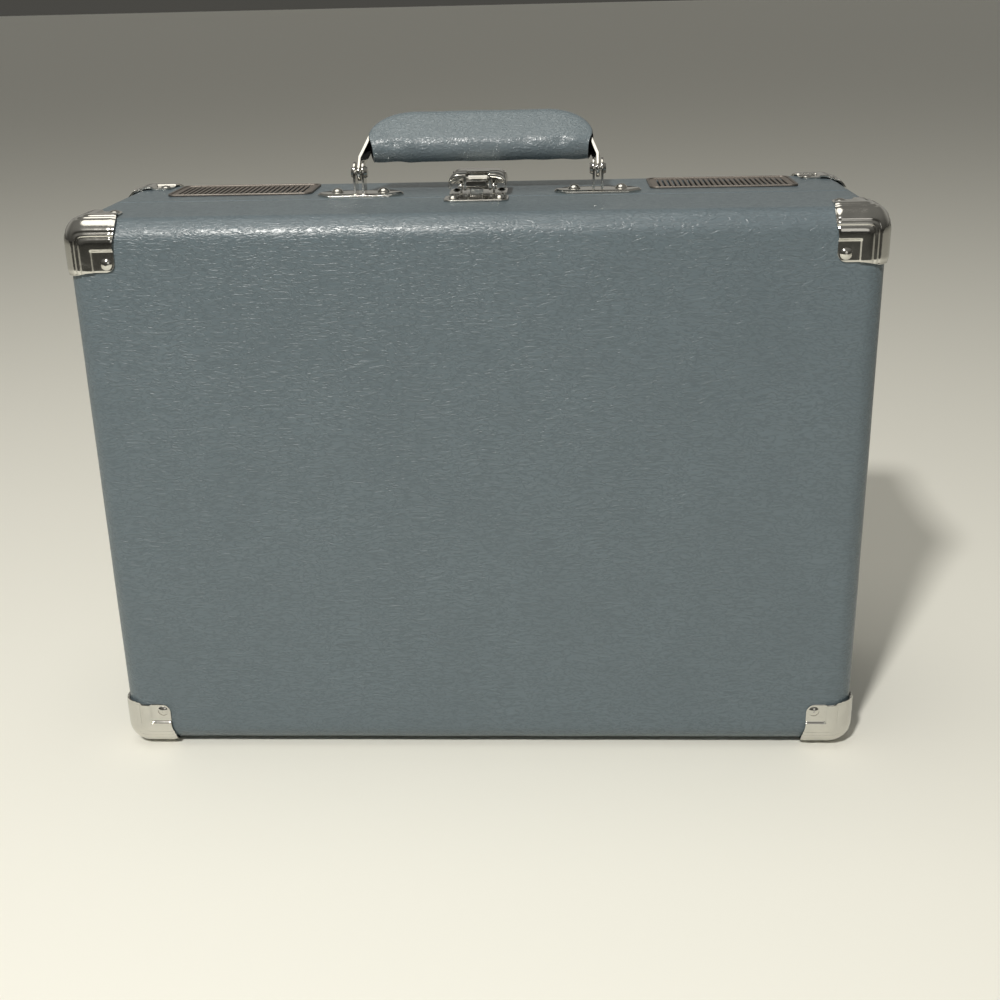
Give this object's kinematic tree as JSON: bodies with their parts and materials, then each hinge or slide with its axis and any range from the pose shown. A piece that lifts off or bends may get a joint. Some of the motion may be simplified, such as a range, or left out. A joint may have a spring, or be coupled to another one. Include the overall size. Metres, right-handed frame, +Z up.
{
  "type": "turntable record player",
  "caption": "Portable suitcase record player: a leatherette case with metal corners, latch and carrying handle that opens to a belt-driven turntable with tonearm and built-in speakers.",
  "frame": {"origin": "on the surface the closed case stands on, under the middle of its outer box", "axes": "+Z up towards the carrying handle, -Y out of the lid's face, +X to the viewer's right when facing the lid"},
  "size_m": [0.3598, 0.129, 0.2965],
  "materials": {
    "case_cover": "pebbled leatherette",
    "grip_cover": "soft leatherette",
    "nickel": "polished nickel plate",
    "steel": "drawn steel",
    "dark_metal": "black lacquer",
    "rubber": "matt",
    "deck_plastic": "fine texture",
    "black_plastic": "satin",
    "knob_plastic": "satin",
    "board": "solder mask",
    "cone": "pressed paper",
    "grille": "woven mesh over slots",
    "socket": "moulded",
    "led_lens": "clear red",
    "lining": "flocked paper",
    "platter_metal": "satin black",
    "mat_felt": "felt",
    "brass": "turned",
    "arm_metal": "satin anodised",
    "stylus_red": "moulded",
    "adapter_plastic": "moulded"
  },
  "bodies": {
    "base": {"base_box": "case_cover", "base_corners": "nickel", "base_rivets": "nickel", "feet": "rubber", "screws": "nickel", "deck": "deck_plastic", "spindle": "nickel", "belt": "rubber", "motor": "steel", "pcb": "board", "speaker_drivers": "dark_metal", "speaker_cones": "cone", "grille_left": "grille", "grille_right": "grille", "grille_bezels": "nickel", "rear_panel": "black_plastic", "rear_sockets": "socket", "deck_jacks": "black_plastic", "arm_base": "black_plastic", "arm_rest": "black_plastic", "cue_housing": "black_plastic", "pots": "dark_metal", "led": "led_lens", "latch_base": "nickel", "latch_pin": "nickel", "bracket_left": "nickel", "bracket_right": "nickel", "handle_pins": "nickel", "bracket_rivets": "nickel", "hinge_base_leaves": "nickel", "hinge_pins": "nickel"},
    "lid": {"lid_box": "case_cover", "lid_lining": "lining", "lid_corner_fl": "nickel", "lid_corner_fr": "nickel", "lid_corner_rl": "nickel", "lid_corner_rr": "nickel", "lid_rivets": "nickel", "hinge_lid_leaves": "nickel", "latch_catch": "nickel"},
    "lever": {"latch_lever": "nickel"},
    "loop": {"latch_loop": "nickel"},
    "handle": {"handle_grip": "grip_cover", "handle_strap": "nickel"},
    "turntable": {"platter": "platter_metal", "slipmat": "mat_felt"},
    "pulley": {"motor_pulley": "brass"},
    "arm_post": {"arm_turret": "black_plastic"},
    "arm": {"arm_tube": "arm_metal", "headshell": "black_plastic", "cartridge": "black_plastic", "stylus": "stylus_red"},
    "cue_handle": {"cue_lever": "nickel"},
    "cue_lifter": {"cue_platform": "black_plastic"},
    "clip": {"rest_clip": "black_plastic"},
    "speed_switch": {"speed_slider": "nickel"},
    "stop_switch": {"stop_slider": "nickel"},
    "volume": {"volume_knob": "knob_plastic"},
    "source": {"source_knob": "knob_plastic"},
    "adapter_disc": {"adapter": "adapter_plastic"}
  },
  "joints": [
    {"name": "lid_hinge", "type": "hinge", "parent": "base", "child": "lid", "pos_m": [0, -0.00655, 0.0022], "axis": [1, 0, 0], "range_deg": [0, 95]},
    {"name": "latch_lever_hinge", "type": "hinge", "parent": "base", "child": "lever", "pos_m": [0, -0.00255, 0.2644], "axis": [1, 0, 0], "range_deg": [0, 33]},
    {"name": "latch_loop_hinge", "type": "hinge", "parent": "lever", "child": "loop", "pos_m": [0, -0.00005, 0.2679], "axis": [1, 0, 0], "range_deg": [-33, 0]},
    {"name": "handle_swing", "type": "hinge", "parent": "base", "child": "handle", "pos_m": [0, 0.00395, 0.2711], "axis": [1, 0, 0], "range_deg": [-20, 92]},
    {"name": "platter_spin", "type": "hinge", "parent": "base", "child": "turntable", "pos_m": [0.045, -0.00455, 0.12615], "axis": [0, 1, 0], "continuous": true},
    {"name": "pulley_spin", "type": "hinge", "parent": "base", "child": "pulley", "pos_m": [0.1, -0.00155, 0.07115], "axis": [0, 1, 0], "continuous": true},
    {"name": "arm_swing", "type": "hinge", "parent": "base", "child": "arm_post", "pos_m": [-0.112, -0.01255, 0.04315], "axis": [0, 1, 0], "range_deg": [0, 46]},
    {"name": "arm_lift", "type": "hinge", "parent": "arm_post", "child": "arm", "pos_m": [-0.112, -0.02355, 0.04315], "axis": [1, 0, 0], "range_deg": [0, 8]},
    {"name": "cue_lever_turn", "type": "hinge", "parent": "base", "child": "cue_handle", "pos_m": [-0.10076, -0.00855, 0.07097], "axis": [1, 0, 0], "range_deg": [0, 60]},
    {"name": "cue_lift", "type": "slide", "parent": "base", "child": "cue_lifter", "axis": [0, -1, 0], "range_m": [0, 0.0036]},
    {"name": "clip_turn", "type": "hinge", "parent": "base", "child": "clip", "pos_m": [-0.1215, -0.01955, 0.16815], "axis": [0, 0, 1], "range_deg": [0, 70]},
    {"name": "speed_slide", "type": "slide", "parent": "base", "child": "speed_switch", "axis": [0, 0, -1], "range_m": [0, 0.016]},
    {"name": "stop_slide", "type": "slide", "parent": "base", "child": "stop_switch", "axis": [0, 0, -1], "range_m": [0, 0.008]},
    {"name": "volume_turn", "type": "hinge", "parent": "base", "child": "volume", "pos_m": [-0.14, -0.00255, 0.22315], "axis": [0, 1, 0], "range_deg": [0, 300]},
    {"name": "source_turn", "type": "hinge", "parent": "base", "child": "source", "pos_m": [-0.14, -0.00255, 0.18615], "axis": [0, 1, 0], "range_deg": [0, 60]},
    {"name": "adapter_lift", "type": "slide", "parent": "base", "child": "adapter_disc", "axis": [0, -1, 0], "range_m": [0, 0.03]}
  ],
  "couplings": [
    {"joint": "latch_loop_hinge", "follows": "latch_lever_hinge", "ratio": -1},
    {"joint": "pulley_spin", "follows": "platter_spin", "ratio": 11.7},
    {"joint": "cue_lever_turn", "follows": "arm_lift", "ratio": 7.5},
    {"joint": "cue_lift", "follows": "arm_lift", "m_per_rad": 0.02578}
  ]
}
